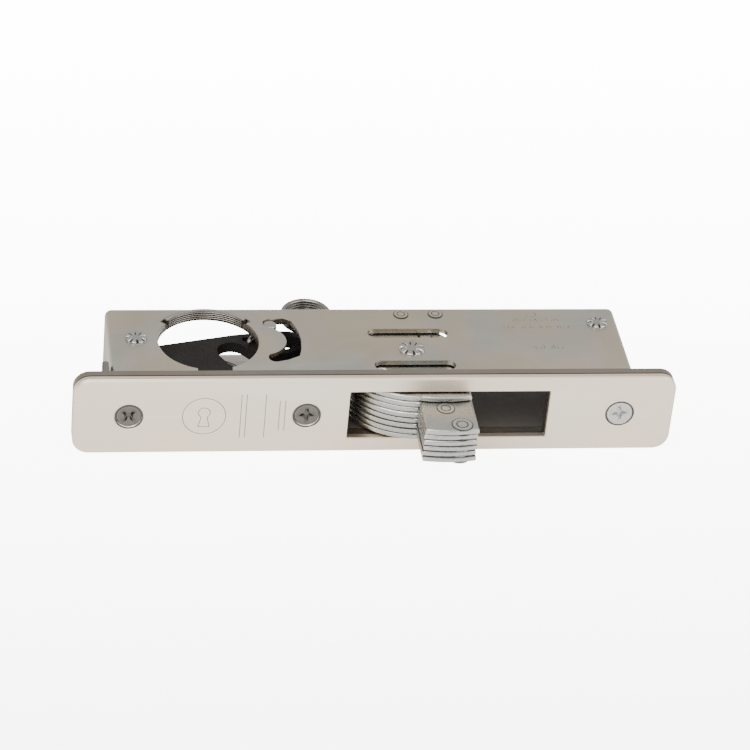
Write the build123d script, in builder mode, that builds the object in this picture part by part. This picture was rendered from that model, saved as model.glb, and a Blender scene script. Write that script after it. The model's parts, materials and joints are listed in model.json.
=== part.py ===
"""Mortise lock with a swinging laminated bolt, for the edge of a narrow-stile door.

Millimetres. The lock lies flat: X runs along the faceplate, +Y runs back into the door, +Z
is up out of the case's large side. The origin is midway between the two door screws, on the
seat face of the mounting plate.
"""

import os
from math import asin, atan2, cos, degrees, hypot, radians, sin

from build123d import *

# --- driving dimensions -------------------------------------------------------------------

FACE_EAR = 11.2
FACE_HEIGHT = 25.4
FACE_CORNER_R = 4.8
TRIM_THICK = 2.1
PLATE_THICK = 2.8

CASE_LENGTH = 152.2
CASE_DEPTH = 36.7
WALL = 1.5
BEND_R = 2.0
BACK_CORNER_R = 1.2

BACKSET = 24.6
CYLINDER_MARGIN = 14.35
CYLINDER_R = 14.7
SIDE_SLOT_LENGTH = 23.8
SIDE_SLOT_WIDTH = 4.4
RELIEF_WIDTH = 10.0
RELIEF_DEPTH = 0.75

BOLT_INSET = 64.14
BOLT_Y = 14.84
PLY = 1.9
PLY_COUNT = 8
STACK_CLEAR = 0.4
BOLT_WIDTH = 15.5
BOLT_LEFT = -0.5
BOLT_THROW = 15.9
HUB_R = 15.1
FAN_R = 21.6
SHOULDER_THROW = 2.4
SLOT_GAP = 0.2

GUIDE_R = 2.0
GUIDE_PATH_R = 9.5
GUIDE_SWING = 69.0

ARM_THICK = 3.4
ARM_EYE_R = 6.0
ARM_ANGLE = 7.95

SPRING_WIRE = 1.55
SPRING_R = 7.5
SPRING_TURNS = 3

SCREW_R = 2.08
SCREW_HEAD_R = 4.1
TRIM_SCREW_INSET = 4.7
CLAMP_SCREW_GAP = 11.95
CLAMP_TRAVEL = 0.8
DOOR_SCREW_OUTSET = 5.7
DOOR_HOLE_R = 2.8
TRIM_SCREW_LENGTH = 5.2
CLAMP_SCREW_LENGTH = 9.8

TAB_WIDTH = 8.0
TAB_LENGTH = 1.8
LUG_LENGTH = 9.6
LUG_THICK = 1.9
STAKE_R = 2.6
STAKE_HEIGHT = 0.9
PIVOT_R = 3.2
STOP_R = 2.0
BUSH_R = 5.2
ARM_BUSH_R = 4.2
ARM_BUSH_HALF = 6.0
TIP_RIVETS = [(6.84, 10.9, 2.4), (10.44, 2.9, 2.8)]
HUB_RIVETS = [(-9.5, -9.0), (10.4, 1.2), (5.6, 9.6)]
HUB_RIVET_R = 1.6
FORK_END_R = 23.0
FORK_ROOT_R = 13.4

STRAP_THICK = 1.5
STRAP_START = 42.0
YOKE_THICK = 1.2
BAND_WIDTH = 4.2
BAND_GAP = 1.28
YOKE_TAB_Y = 2.6
YOKE_TAB_THICK = 2.0
SPRING_HOLE = (34.6, 6.2)

RUNNING = 0.05
CLEAR = 0.3

# --- worked out from them -----------------------------------------------------------------

FACE_Y = -(TRIM_THICK + PLATE_THICK)
FACE_LENGTH = CASE_LENGTH + 2 * FACE_EAR
STACK = PLY * PLY_COUNT
CASE_HEIGHT = STACK + 2 * STACK_CLEAR + 2 * WALL
HALF_CASE = CASE_HEIGHT / 2
INNER_Z = HALF_CASE - WALL
CYLINDER_X = CYLINDER_MARGIN + CYLINDER_R - CASE_LENGTH / 2
CYLINDER = (CYLINDER_X, BACKSET + FACE_Y)
CYLINDER_RIGHT = CYLINDER_X + CYLINDER_R
BOLT_X = CASE_LENGTH / 2 - BOLT_INSET
BOLT = (BOLT_X, BOLT_Y)
TRIM_SCREW_X = CASE_LENGTH / 2 - TRIM_SCREW_INSET
DOOR_SCREW_X = CASE_LENGTH / 2 + DOOR_SCREW_OUTSET
CLAMP_SCREW_X = CYLINDER_RIGHT + CLAMP_SCREW_GAP
SLOT_HALF = STACK / 2 + 2 * SLOT_GAP
BOLT_REACH = BOLT_Y - FACE_Y + BOLT_THROW
SHOULDER_REACH = BOLT_Y - FACE_Y + SHOULDER_THROW
CORNER_REACH = hypot(BOLT_WIDTH + BOLT_LEFT, BOLT_REACH)
SLOT_LEFT = BOLT_X - FAN_R + 1.35
SLOT_RIGHT = BOLT_X + CORNER_REACH - 0.45

LEFT_POST = (CYLINDER_X - CYLINDER_R - 6.21, CYLINDER[1] + 1.1)
RIGHT_POST = (CASE_LENGTH / 2 - 6.4, CASE_DEPTH - 8.5)
STOP_POSTS = [(BOLT_X - 0.7, BOLT_Y + 18.16), (BOLT_X + 9.64, BOLT_Y + 18.36)]
SIDE_SLOTS = [(BOLT_X, BOLT_Y + 8.3), (BOLT_X, BOLT_Y - 8.2)]
GUIDE_CENTRE = (CYLINDER_RIGHT + 0.75, CYLINDER[1] + 0.15)
SPRING = (CYLINDER_RIGHT + 16.25, CASE_DEPTH + 3.2)
SPRING_Z = 1.95
ANCHOR = (SPRING[0] + 4.3, SPRING[1] - 8.9)

FORK_ANGLE = 131.0
DRIVE_PIN = (BOLT_X - 13.663, BOLT_Y + 15.2127)
DRIVE_PIN_R = 2.0
GUIDE_SLOT_LEAD = 0.26
FORK_HALF = DRIVE_PIN_R + 1.5
YOKE_TOP = INNER_Z - 0.15
STRAP_OUTER = CYLINDER_R + STRAP_THICK


# --- helpers ------------------------------------------------------------------------------


def polar(centre, radius, angle):
    """The point at this radius and angle, in degrees, about a centre."""
    return (centre[0] + radius * cos(radians(angle)), centre[1] + radius * sin(radians(angle)))


def tip_place(x, back):
    """A point of the bolt's block, given across it and back from its tip."""
    return (BOLT[0] + x, BOLT[1] - BOLT_REACH + back)


def arm_point(along, across, origin=LEFT_POST):
    """A point given along and across the drive arm's centre line, at rest."""
    x, y = polar(origin, along, ARM_ANGLE)
    return (x - across * sin(radians(ARM_ANGLE)), y + across * cos(radians(ARM_ANGLE)))


def save(piece, label):
    """Name a finished piece and write its STEP file."""
    piece.part.label = label
    export_step(piece.part, f"parts/{label}.step")


def sector(centre, inner, outer, start, end):
    """A ring sector's outline as a filled sketch in the builder's plane."""
    with BuildLine() as outline:
        CenterArc(centre, outer, start, end - start)
        CenterArc(centre, inner, start, end - start)
        Line(polar(centre, inner, start), polar(centre, outer, start))
        Line(polar(centre, inner, end), polar(centre, outer, end))
    make_face(outline.edges())


# --- faceplate ----------------------------------------------------------------------------


def face_outline():
    """The plates' common outline, seen from the front."""
    RectangleRounded(FACE_LENGTH, FACE_HEIGHT, FACE_CORNER_R)


def bolt_window():
    """The square-cornered window that the bolt swings through."""
    with Locations(((SLOT_LEFT + SLOT_RIGHT) / 2, 0)):
        Rectangle(SLOT_RIGHT - SLOT_LEFT, 2 * SLOT_HALF, mode=Mode.SUBTRACT)


def trim_faceplate():
    """The finished plate, countersunk for its two screws and the clamp screw."""
    with BuildPart() as trim:
        with BuildSketch(Plane.XZ.offset(PLATE_THICK)):
            face_outline()
            bolt_window()
        extrude(amount=TRIM_THICK)
        front = trim.faces().sort_by(Axis.Y)[0]
        chamfer(front.outer_wire().edges(), length=0.35)
        screws = [(x, 0) for x in (-TRIM_SCREW_X, CLAMP_SCREW_X, TRIM_SCREW_X)]
        with Locations(Plane.XZ.offset(-FACE_Y)):
            with Locations(*screws):
                CounterSinkHole(SCREW_R + CLEAR, SCREW_HEAD_R, counter_sink_angle=90)
    save(trim, "trim_faceplate")


def mounting_plate():
    """The structural plate: tapped for the trim screws, drilled for the door screws."""
    lug_x = CASE_LENGTH / 2 + 0.5
    with BuildPart() as plate:
        with BuildSketch(Plane.XZ):
            face_outline()
            bolt_window()
            with Locations((-TRIM_SCREW_X, 0), (TRIM_SCREW_X, 0)):
                Circle(SCREW_R + RUNNING, mode=Mode.SUBTRACT)
            with Locations((CLAMP_SCREW_X, 0)):
                Circle(SCREW_R + CLEAR, mode=Mode.SUBTRACT)
            with Locations((-DOOR_SCREW_X, 0), (DOOR_SCREW_X, 0)):
                Circle(DOOR_HOLE_R, mode=Mode.SUBTRACT)
            with Locations(*tab_places()):
                Rectangle(TAB_WIDTH + 2 * RUNNING, WALL + 2 * RUNNING, mode=Mode.SUBTRACT)
        extrude(amount=PLATE_THICK)
        with BuildSketch(Plane.XY.offset(-HALF_CASE)):
            with Locations((-lug_x, 0)):
                Rectangle(LUG_THICK, LUG_LENGTH, align=(Align.MAX, Align.MIN))
        extrude(amount=CASE_HEIGHT)
    save(plate, "mounting_plate")


# --- case ---------------------------------------------------------------------------------


def tab_places():
    """Middle of each tab that the case's walls put through the mounting plate."""
    x = CASE_LENGTH / 2 - 12
    z = INNER_Z + WALL / 2
    return [(-x, z), (x, z), (-x, -z), (x, -z)]


def tab_outlines():
    """The two tabs on a wall's front edge, seen from above."""
    for x in sorted({place[0] for place in tab_places()}):
        with Locations((x, 0.2)):
            Rectangle(TAB_WIDTH, TAB_LENGTH + 0.2, align=(Align.CENTER, Align.MAX))


def guide_slot():
    """The curved slot: the guide pin's path widened by an arc concentric with the cylinder."""
    ring = GUIDE_R + 0.15
    inner, outer = GUIDE_PATH_R - ring, GUIDE_PATH_R + ring
    sector(GUIDE_CENTRE, inner, outer, -GUIDE_SWING, GUIDE_SWING)
    for angle in (-GUIDE_SWING, GUIDE_SWING):
        with Locations(polar(GUIDE_CENTRE, GUIDE_PATH_R, angle)):
            Circle(ring)
    near, far = CYLINDER_R + 8.1, CYLINDER_R + 12.35
    sector(CYLINDER, near, far, -17, 22)
    for side, back in ((1, 13.6), (-1, 12.2)):
        with BuildLine() as outline:
            Polyline(
                polar(CYLINDER, far, 22 if side > 0 else -17),
                polar(GUIDE_CENTRE, back, side * 56),
                polar(GUIDE_CENTRE, outer, side * 68),
                polar(GUIDE_CENTRE, GUIDE_PATH_R, side * 52),
                polar(CYLINDER, near + 1.2, 12 * side),
                close=True,
            )
        make_face(outline.edges())


def case_shell():
    """Upper wall and both ends, folded from one sheet, open at the back."""
    with BuildPart() as shell:
        with BuildSketch(Plane.XZ):
            with Locations((0, HALF_CASE)):
                Rectangle(CASE_LENGTH, CASE_HEIGHT - WALL, align=(Align.CENTER, Align.MAX))
            with Locations((0, INNER_Z)):
                Rectangle(
                    CASE_LENGTH - 2 * WALL,
                    CASE_HEIGHT - WALL,
                    align=(Align.CENTER, Align.MAX),
                    mode=Mode.SUBTRACT,
                )
        extrude(amount=-CASE_DEPTH)
        folds = shell.edges().filter_by(Axis.Y).group_by(Axis.Z)[-1]
        fillet(folds, radius=BEND_R)
        corners = shell.edges().filter_by(Axis.Z).group_by(Axis.Y)[-1].group_by(Axis.X)[-1]
        fillet(corners, radius=BACK_CORNER_R)
        with BuildSketch(Plane.XY.offset(INNER_Z)):
            case_cutouts()
        extrude(amount=WALL, mode=Mode.SUBTRACT)
        with BuildSketch(Plane.XY.offset(INNER_Z)):
            tab_outlines()
        extrude(amount=WALL)
    save(shell, "case_shell")


def case_cutouts():
    """The openings as a positive sketch, for cutting through a wall."""
    with Locations(CYLINDER):
        Circle(CYLINDER_R)
    sector(CYLINDER, CYLINDER_R - 1, STRAP_OUTER + CLEAR, STRAP_START - 5.3, 185.3 - STRAP_START)
    with Locations((CYLINDER[0] + 0.75, CYLINDER[1] - CYLINDER_R - RELIEF_DEPTH)):
        Rectangle(RELIEF_WIDTH, CYLINDER_R, align=(Align.CENTER, Align.MIN))
    guide_slot()
    with Locations(*SIDE_SLOTS):
        SlotOverall(SIDE_SLOT_LENGTH, SIDE_SLOT_WIDTH)
    with Locations(LEFT_POST, RIGHT_POST, BOLT):
        Circle(STAKE_R + 0.02)
    with Locations(*STOP_POSTS):
        Circle(STOP_R + 0.02)


def case_cover():
    """The lower wall, a flat sheet staked to the posts."""
    with BuildPart() as cover:
        with BuildSketch(Plane.XY.offset(-HALF_CASE)):
            with Locations((0, CASE_DEPTH / 2)):
                Rectangle(CASE_LENGTH, CASE_DEPTH)
        extrude(amount=WALL)
        corners = cover.edges().filter_by(Axis.Z).group_by(Axis.Y)[-1]
        fillet(corners, radius=BACK_CORNER_R)
        with BuildSketch(Plane.XY.offset(-HALF_CASE)):
            case_cutouts()
        extrude(amount=WALL, mode=Mode.SUBTRACT)
        with BuildSketch(Plane.XY.offset(-HALF_CASE)):
            tab_outlines()
        extrude(amount=WALL)
    save(cover, "case_cover")


def staked_post(label, place, body_r, head_r):
    """A shouldered post between the walls, its ends star-staked over both of them."""
    with BuildPart() as post:
        with BuildSketch(Plane.XY.offset(-INNER_Z)):
            with Locations(place):
                Circle(body_r)
        extrude(amount=2 * INNER_Z)
        with BuildSketch(Plane.XY.offset(-HALF_CASE)):
            with Locations(place):
                Circle(STAKE_R)
        extrude(amount=CASE_HEIGHT)
        for level in (HALF_CASE, -HALF_CASE - STAKE_HEIGHT):
            with BuildSketch(Plane.XY.offset(level)):
                with Locations(place):
                    Circle(head_r)
                with Locations(place):
                    with PolarLocations(head_r, 8, start_angle=22.5):
                        Rectangle(1.4, 0.5, mode=Mode.SUBTRACT)
            extrude(amount=STAKE_HEIGHT)
    save(post, label)


def stop_posts():
    """Two plain posts behind the bolt hub that stop its block at the end of the swing."""
    with BuildPart() as posts:
        with BuildSketch(Plane.XY.offset(-HALF_CASE - 0.25)):
            with Locations(*STOP_POSTS):
                Circle(STOP_R)
        extrude(amount=CASE_HEIGHT + 0.5)
    save(posts, "stop_posts")


# --- bolt ---------------------------------------------------------------------------------


def bolt_outline(reach):
    """Hub, fan and block of one ply; reach is how far the block runs from the pivot."""
    x, y = BOLT
    right = x + BOLT_LEFT + BOLT_WIDTH
    left = x + BOLT_LEFT
    fan_side = polar(BOLT, FAN_R, -150)
    fan_foot = polar(BOLT, FAN_R, -91.4)
    with BuildLine() as outline:
        CenterArc(BOLT, HUB_R, 0, 180)
        Line((x - HUB_R, y), fan_side)
        CenterArc(BOLT, FAN_R, -150, 58.6)
        Line(fan_foot, (left, y - reach + 0.8))
        ThreePointArc(
            (left, y - reach + 0.8),
            ((left + right) / 2, y - reach),
            (right, y - reach + 0.8),
        )
        Line((right, y - reach + 0.8), (right, y))
        Line((right, y), (x + HUB_R, y))
    make_face(outline.edges())


def fork_ear():
    """The forked ear of a cheek ply, open at its end for the arm's drive pin."""
    wide = FORK_HALF + 2.6
    with BuildLine() as outline:
        Polyline(
            offset_from_ray(0, -wide - 1),
            offset_from_ray(FORK_END_R - 1.2, -wide),
            offset_from_ray(FORK_END_R, -wide + 1.2),
            offset_from_ray(FORK_END_R, wide - 1.2),
            offset_from_ray(FORK_END_R - 1.2, wide),
            offset_from_ray(0, wide + 1),
            close=True,
        )
    make_face(outline.edges())


def offset_from_ray(along, across):
    """A point along and across the ray from the pivot to the drive pin at rest."""
    x, y = polar(BOLT, along, FORK_ANGLE)
    return (x - across * sin(radians(FORK_ANGLE)), y + across * cos(radians(FORK_ANGLE)))


def fork_slot():
    """The fork's slot, cut from a cheek ply."""
    root = FORK_ROOT_R - DRIVE_PIN_R + FORK_HALF - 0.3
    with BuildLine() as outline:
        Polyline(
            offset_from_ray(root, -FORK_HALF),
            offset_from_ray(FORK_END_R + 3, -FORK_HALF),
            offset_from_ray(FORK_END_R + 3, FORK_HALF),
            offset_from_ray(root, FORK_HALF),
            close=True,
        )
    make_face(outline.edges(), mode=Mode.SUBTRACT)
    with Locations(polar(BOLT, root, FORK_ANGLE)):
        Circle(FORK_HALF, mode=Mode.SUBTRACT)


def arm_pocket():
    """The wedge left out of a centre ply, where the arm's end moves."""
    with BuildLine() as outline:
        Polyline(
            polar(BOLT, 0, 0),
            polar(BOLT, 40, 80),
            polar(BOLT, 40, 130),
            polar(BOLT, 40, 180),
            close=True,
        )
    make_face(outline.edges(), mode=Mode.SUBTRACT)
    with Locations(BOLT):
        Circle(8.8)


def bolt_ply(index):
    """One lamination: an outer, a cheek or a centre ply, by its place in the stack."""
    level = -STACK / 2 + index * PLY
    from_outside = min(index, PLY_COUNT - 1 - index)
    outer = from_outside == 0
    centre = from_outside == PLY_COUNT // 2 - 1
    with BuildPart() as ply:
        with BuildSketch(Plane.XY.offset(level)):
            bolt_outline(SHOULDER_REACH if outer else BOLT_REACH)
            if centre:
                arm_pocket()
            elif not outer:
                fork_ear()
                fork_slot()
            with Locations(BOLT):
                Circle(BUSH_R + 0.02, mode=Mode.SUBTRACT)
            for x, back, radius in TIP_RIVETS:
                if not outer:
                    with Locations(tip_place(x, back)):
                        Circle(radius - 0.6, mode=Mode.SUBTRACT)
            for x, y in HUB_RIVETS:
                with Locations((BOLT[0] + x, BOLT[1] + y)):
                    Circle(HUB_RIVET_R + 0.02, mode=Mode.SUBTRACT)
        extrude(amount=PLY)
    save(ply, f"bolt_ply_{index + 1}")


def bolt_rivets():
    """Flush rivets: two through the tip's plies and three through the hub's."""
    tip_half = STACK / 2 - PLY
    for label, (x, back, radius) in zip(("bolt_rivet_inner", "bolt_rivet_outer"), TIP_RIVETS):
        place = tip_place(x, back)
        with BuildPart() as rivet:
            with BuildSketch(Plane.XY.offset(-tip_half)):
                with Locations(place):
                    Circle(radius - 0.62)
            extrude(amount=2 * tip_half)
            for level in (tip_half, -tip_half - 0.15):
                with BuildSketch(Plane.XY.offset(level)):
                    with Locations(place):
                        Circle(radius)
                extrude(amount=0.15)
        save(rivet, label)
    with BuildPart() as hub:
        with BuildSketch(Plane.XY.offset(-STACK / 2)):
            with Locations(*[(BOLT[0] + x, BOLT[1] + y) for x, y in HUB_RIVETS]):
                Circle(HUB_RIVET_R)
        extrude(amount=STACK)
    save(hub, "hub_rivets")


def bolt_bushing():
    """The steel bush pressed into the plies, running on the pivot post."""
    with BuildPart() as bush:
        with BuildSketch(Plane.XY.offset(-STACK / 2 - 0.2)):
            with Locations(BOLT):
                Circle(BUSH_R)
                Circle(PIVOT_R + RUNNING, mode=Mode.SUBTRACT)
        extrude(amount=STACK + 0.4)
    save(bush, "bolt_bushing")


# --- drive arm ----------------------------------------------------------------------------


def drive_arm():
    """The black arm: pivot eye, notch for the cylinder's cam, guide slot and end eye."""
    half = ARM_THICK / 2
    guide_half = GUIDE_R + 0.8
    rest = polar(GUIDE_CENTRE, GUIDE_PATH_R, GUIDE_SWING)
    near = hypot(rest[0] - LEFT_POST[0], rest[1] - LEFT_POST[1])
    ray = degrees(atan2(rest[1] - LEFT_POST[1], rest[0] - LEFT_POST[0])) - GUIDE_SLOT_LEAD
    far = GUIDE_CENTRE[0] + GUIDE_PATH_R - LEFT_POST[0]
    with BuildPart() as arm:
        with BuildSketch(Plane.XY.offset(-half)):
            with Locations(LEFT_POST):
                Circle(ARM_EYE_R)
            with Locations(DRIVE_PIN):
                Circle(DRIVE_PIN_R + 1.5)
            with BuildLine() as outline:
                Polyline(
                    polar(LEFT_POST, ARM_EYE_R, 103.9),
                    arm_point(31.3, 9.1),
                    arm_point(36.9, 9.2),
                    arm_point(43.5, 9.4),
                    arm_point(48.5, 8.6),
                    arm_point(52.5, 6.6),
                    arm_point(58.0, 4.6),
                    arm_point(0, DRIVE_PIN_R + 1.5, DRIVE_PIN),
                    arm_point(-1.5, -DRIVE_PIN_R - 1.1, DRIVE_PIN),
                    arm_point(57.0, 0.6),
                    arm_point(51.5, -0.2),
                    arm_point(45.5, -2.6),
                    arm_point(35.5, -3.2),
                    arm_point(31.0, -9.4),
                    arm_point(28.6, -10.4),
                    arm_point(20.3, -11.0),
                    arm_point(7.0, -8.8),
                    polar(LEFT_POST, ARM_EYE_R, -120),
                    close=True,
                )
            make_face(outline.edges())
            with BuildLine() as outline:
                Polyline(
                    arm_point(24.9, -0.6),
                    arm_point(26.6, -5.2),
                    arm_point(32.1, -12.5),
                    arm_point(38.6, -6.4),
                    arm_point(33.0, 3.0),
                    close=True,
                )
            make_face(outline.edges(), mode=Mode.SUBTRACT)
            with Locations(arm_point(29.2, 0.8)):
                Circle(4.4, mode=Mode.SUBTRACT)
            sector_slot(ray, near, far, guide_half)
            with Locations(LEFT_POST):
                Circle(ARM_BUSH_R + 0.02, mode=Mode.SUBTRACT)
            with Locations(DRIVE_PIN):
                Circle(DRIVE_PIN_R + 0.02, mode=Mode.SUBTRACT)
            with Locations(arm_point(*SPRING_HOLE)):
                Circle(SPRING_WIRE / 2 + 0.3, mode=Mode.SUBTRACT)
        extrude(amount=ARM_THICK)
    save(arm, "drive_arm")


def sector_slot(angle, near, far, half):
    """A round-ended slot that runs radially from the left post."""
    start = polar(LEFT_POST, near, angle)
    end = polar(LEFT_POST, far, angle)
    middle = ((start[0] + end[0]) / 2, (start[1] + end[1]) / 2)
    with Locations(Location((*middle, 0), (0, 0, angle))):
        SlotOverall(far - near + 2 * half, 2 * half, mode=Mode.SUBTRACT)


def arm_fittings():
    """Bush on the left post and the pin that drives the bolt's fork."""
    with BuildPart() as bush:
        with BuildSketch(Plane.XY.offset(-ARM_BUSH_HALF)):
            with Locations(LEFT_POST):
                Circle(ARM_BUSH_R)
                Circle(PIVOT_R + RUNNING, mode=Mode.SUBTRACT)
        extrude(amount=2 * ARM_BUSH_HALF)
    save(bush, "arm_bushing")
    pin_half = STACK / 2 - PLY - 0.3
    with BuildPart() as pin:
        with BuildSketch(Plane.XY.offset(-pin_half)):
            with Locations(DRIVE_PIN):
                Circle(DRIVE_PIN_R)
        extrude(amount=2 * pin_half)
        chamfer(pin.edges(), length=0.3)
    save(pin, "drive_pin")


def guide_pin():
    """The pin in the curved slot, at rest in the slot's back pocket."""
    place = polar(GUIDE_CENTRE, GUIDE_PATH_R, GUIDE_SWING)
    with BuildPart() as pin:
        with BuildSketch(Plane.XY.offset(-HALF_CASE + 0.4)):
            with Locations(place):
                Circle(GUIDE_R)
        extrude(amount=CASE_HEIGHT - 0.8)
        chamfer(pin.edges(), length=0.25)
    save(pin, "guide_pin")


# --- cylinder clamp -----------------------------------------------------------------------


def yoke_outline():
    """One of the yoke's two plates: eye, band behind the cylinder, and leg to the tab."""
    leg_left, leg_right = CLAMP_SCREW_X + 1.0, CLAMP_SCREW_X + 6.4
    rest = polar(GUIDE_CENTRE, GUIDE_PATH_R, GUIDE_SWING)
    band_back = rest[1] + GUIDE_R + BAND_GAP + BAND_WIDTH
    with Locations(CYLINDER):
        Circle(CYLINDER_R + 3.9)
    with Locations((CYLINDER[0], band_back)):
        Rectangle(60, 10, align=(Align.CENTER, Align.MIN), mode=Mode.SUBTRACT)
    with Locations((CYLINDER[0], CYLINDER[1] - 2)):
        Rectangle(60, 30, align=(Align.CENTER, Align.MAX), mode=Mode.SUBTRACT)
    with BuildLine() as outline:
        Polyline(
            (CYLINDER[0], band_back),
            (leg_right, band_back),
            (leg_right, YOKE_TAB_Y),
            (leg_left, YOKE_TAB_Y),
            (leg_left, band_back - BAND_WIDTH),
            (CYLINDER[0] + 4, band_back - BAND_WIDTH),
            close=True,
        )
    make_face(outline.edges())
    with Locations((LEFT_POST[0] + 4, LEFT_POST[1])):
        Rectangle(8, 9)
    with Locations(LEFT_POST):
        Circle(5.2)
    with Locations(CYLINDER):
        Circle(CYLINDER_R, mode=Mode.SUBTRACT)
    with Locations(Location((LEFT_POST[0], LEFT_POST[1] + CLAMP_TRAVEL / 2, 0), (0, 0, 90))):
        SlotOverall(
            2 * (PIVOT_R + RUNNING) + CLAMP_TRAVEL, 2 * (PIVOT_R + RUNNING), mode=Mode.SUBTRACT
        )


def clamp_yoke():
    """A folded strap whose two arcs grip the cylinders through the walls."""
    with BuildPart() as yoke:
        for level in (YOKE_TOP - YOKE_THICK, -YOKE_TOP):
            with BuildSketch(Plane.XY.offset(level)):
                yoke_outline()
            extrude(amount=YOKE_THICK)
        for level in (YOKE_TOP - YOKE_THICK, -HALF_CASE - 0.4):
            with BuildSketch(Plane.XY.offset(level)):
                sector(CYLINDER, CYLINDER_R, STRAP_OUTER, STRAP_START, 180 - STRAP_START)
            extrude(amount=HALF_CASE + 0.4 - YOKE_TOP + YOKE_THICK)
        with BuildSketch(Plane.XZ.offset(-YOKE_TAB_Y)):
            with Locations((CLAMP_SCREW_X - 4.4, 0)):
                Rectangle(10.8, 2 * YOKE_TOP, align=(Align.MIN, Align.CENTER))
            with Locations((CLAMP_SCREW_X, 0)):
                Circle(SCREW_R + RUNNING, mode=Mode.SUBTRACT)
        extrude(amount=-YOKE_TAB_THICK)
    save(yoke, "clamp_yoke")


# --- screws and spring --------------------------------------------------------------------


def face_screw(label, x, length, sink):
    """A countersunk cross-recessed machine screw in the faceplate."""
    head = SCREW_HEAD_R - SCREW_R
    with BuildPart() as screw:
        with BuildSketch(Plane.XZ.offset(-FACE_Y - sink)):
            with Locations((x, 0)):
                Circle(SCREW_R)
        extrude(amount=-length)
        with BuildSketch(Plane.XZ.offset(-FACE_Y - sink)):
            with Locations((x, 0)):
                Circle(SCREW_HEAD_R - sink)
        extrude(amount=-(head - sink), taper=45)
        with BuildSketch(Plane.XZ.offset(-FACE_Y - sink)):
            with Locations((x, 0)):
                Rectangle(4.2, 0.9)
                Rectangle(0.9, 4.2)
        extrude(amount=-1.2, mode=Mode.SUBTRACT)
    save(screw, label)


def spring_anchor():
    """A stud welded inside the upper wall that holds the spring's short leg."""
    with BuildPart() as stud:
        with BuildSketch(Plane.XY.offset(SPRING_Z)):
            with Locations(ANCHOR):
                Circle(1.5)
        extrude(amount=INNER_Z - SPRING_Z)
    save(stud, "spring_anchor_stud")


def torsion_spring():
    """The coil behind the case, with one leg on the stud and one over the arm."""
    wire = SPRING_WIRE / 2
    leg = wire - 0.03
    mean = SPRING_R - wire
    pitch = SPRING_WIRE - 0.1
    low = SPRING_Z + wire
    high = low + pitch * (SPRING_TURNS - 1)
    hole = arm_point(*SPRING_HOLE)
    away = (hole[0] - SPRING[0], hole[1] - SPRING[1])
    reach = hypot(*away)
    start = degrees(atan2(away[1], away[0])) + 90 - degrees(asin(mean / reach))
    tangent = polar(SPRING, mean, start)
    along = (hole[0] - tangent[0], hole[1] - tangent[1], 0)
    with BuildPart() as coil:
        with BuildSketch(Plane.XZ):
            for turn in range(SPRING_TURNS):
                with Locations((mean, low + pitch * turn)):
                    Circle(wire)
        revolve(axis=Axis.Z)
    placed = Pos(*SPRING, 0) * coil.part
    with BuildPart() as spring:
        add(placed)
        with BuildSketch(Plane((*tangent, low), z_dir=along).offset(-1)):
            Circle(leg)
        extrude(amount=hypot(*along) + 1)
        with BuildSketch(Plane.XZ.offset(-SPRING[1] - 1)):
            with Locations((SPRING[0] + mean, high)):
                Circle(leg)
        extrude(amount=SPRING[1] - ANCHOR[1] + 3)
    save(spring, "torsion_spring")


def main():
    """Build every piece and write the parts folder."""
    os.makedirs("parts", exist_ok=True)
    trim_faceplate()
    mounting_plate()
    case_shell()
    case_cover()
    staked_post("left_post", LEFT_POST, PIVOT_R, 3.2)
    staked_post("bolt_pivot_post", BOLT, PIVOT_R, 3.85)
    staked_post("right_post", RIGHT_POST, PIVOT_R, 3.1)
    stop_posts()
    for index in range(PLY_COUNT):
        bolt_ply(index)
    bolt_rivets()
    bolt_bushing()
    drive_arm()
    arm_fittings()
    guide_pin()
    clamp_yoke()
    face_screw("trim_screw_left", -TRIM_SCREW_X, TRIM_SCREW_LENGTH, 0.25)
    face_screw("trim_screw_right", TRIM_SCREW_X, TRIM_SCREW_LENGTH, 0.05)
    face_screw("clamp_screw", CLAMP_SCREW_X, CLAMP_SCREW_LENGTH, 0.25)
    spring_anchor()
    torsion_spring()


main()
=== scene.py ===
"""Looks of a mortise lock with a swinging laminated bolt, built around its CAD frame."""

import json
import math

import bmesh
import bpy
from bpy.props import FloatProperty, FloatVectorProperty, IntProperty, PointerProperty
from mathutils import Matrix, Vector


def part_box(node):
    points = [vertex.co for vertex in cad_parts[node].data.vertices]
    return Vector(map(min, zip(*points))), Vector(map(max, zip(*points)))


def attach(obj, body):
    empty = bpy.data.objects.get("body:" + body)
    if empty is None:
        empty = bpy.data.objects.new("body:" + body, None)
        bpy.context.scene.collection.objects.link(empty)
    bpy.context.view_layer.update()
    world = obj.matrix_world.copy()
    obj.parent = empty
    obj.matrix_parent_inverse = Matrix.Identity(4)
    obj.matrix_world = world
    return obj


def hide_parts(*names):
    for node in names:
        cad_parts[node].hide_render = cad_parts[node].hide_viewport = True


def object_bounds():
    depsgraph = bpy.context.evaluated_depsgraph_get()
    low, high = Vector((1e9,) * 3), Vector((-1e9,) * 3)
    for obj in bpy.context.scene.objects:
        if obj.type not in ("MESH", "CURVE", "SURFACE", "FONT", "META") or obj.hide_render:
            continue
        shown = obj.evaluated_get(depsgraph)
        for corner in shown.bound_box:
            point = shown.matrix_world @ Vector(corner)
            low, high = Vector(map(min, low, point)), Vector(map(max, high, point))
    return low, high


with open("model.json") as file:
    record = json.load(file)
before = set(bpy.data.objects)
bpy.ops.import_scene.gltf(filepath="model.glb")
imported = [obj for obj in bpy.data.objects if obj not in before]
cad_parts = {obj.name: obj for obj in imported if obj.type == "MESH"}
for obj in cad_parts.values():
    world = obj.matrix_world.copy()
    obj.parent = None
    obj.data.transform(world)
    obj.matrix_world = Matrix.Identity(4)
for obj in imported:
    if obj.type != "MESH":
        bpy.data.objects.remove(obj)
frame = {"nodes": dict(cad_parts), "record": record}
CAD_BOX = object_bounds()

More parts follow.
